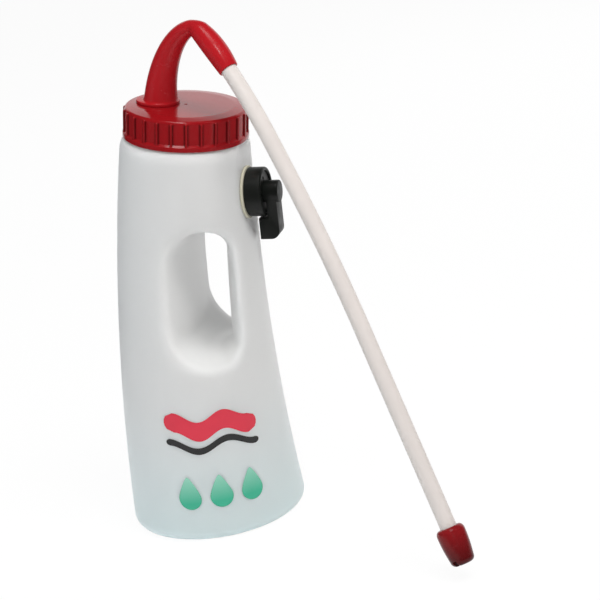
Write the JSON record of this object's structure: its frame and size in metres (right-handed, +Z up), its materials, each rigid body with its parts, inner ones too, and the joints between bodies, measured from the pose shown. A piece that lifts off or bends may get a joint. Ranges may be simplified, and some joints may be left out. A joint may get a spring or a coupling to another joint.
{
  "type": "livestock drencher",
  "caption": "Tapered translucent dosing bottle with a hand hole, red screw cap, swan-neck spout, long drench tube with a bulb tip, and a rotary air valve.",
  "frame": {"origin": "centre of the bottle's base, on the plane that it stands on", "axes": "+Z up from the base, +X towards the air valve, Y along the hand hole"},
  "size_m": [0.2841, 0.2076, 0.3729],
  "materials": {
    "natural_hdpe": "translucent natural polyethylene, satin",
    "red_plastic": "glossy moulded red",
    "white_plastic": "smooth semi-gloss white",
    "black_plastic": "satin moulded black",
    "cream_rubber": "matt cream",
    "black_rubber": "matt black",
    "steel": "plain stainless"
  },
  "bodies": {
    "bottle": {"bottle": "natural_hdpe", "valve_gasket": "cream_rubber", "valve_body": "black_plastic", "valve_nut": "black_plastic", "stem_oring": "black_rubber"},
    "cap_seal": {"cap_seal": "cream_rubber"},
    "cap": {"screw_cap": "red_plastic", "spout": "red_plastic", "spout_oring": "black_rubber", "spout_lock_ring": "red_plastic", "drench_tube": "white_plastic", "tip": "red_plastic"},
    "valve_lever": {"valve_lever": "black_plastic", "metering_disc": "black_plastic", "spring_washer": "steel", "stem_clip": "steel"}
  },
  "joints": [
    {"name": "cap_lift", "type": "slide", "parent": "bottle", "child": "cap_seal", "axis": [0.1736, 0, 0.9848], "range_m": [0, 0.018]},
    {"name": "cap_turn", "type": "hinge", "parent": "cap_seal", "child": "cap", "pos_m": [0.0227, 0, 0.288], "axis": [0.1736, 0, 0.9848], "range_deg": [0, 900]},
    {"name": "valve_turn", "type": "hinge", "parent": "bottle", "child": "valve_lever", "pos_m": [0.06091, 0, 0.24282], "axis": [0.9986, 0, -0.0523], "range_deg": [-90, 90]}
  ],
  "couplings": [
    {"joint": "cap_lift", "follows": "cap_turn", "m_per_rad": 0.0011459}
  ]
}
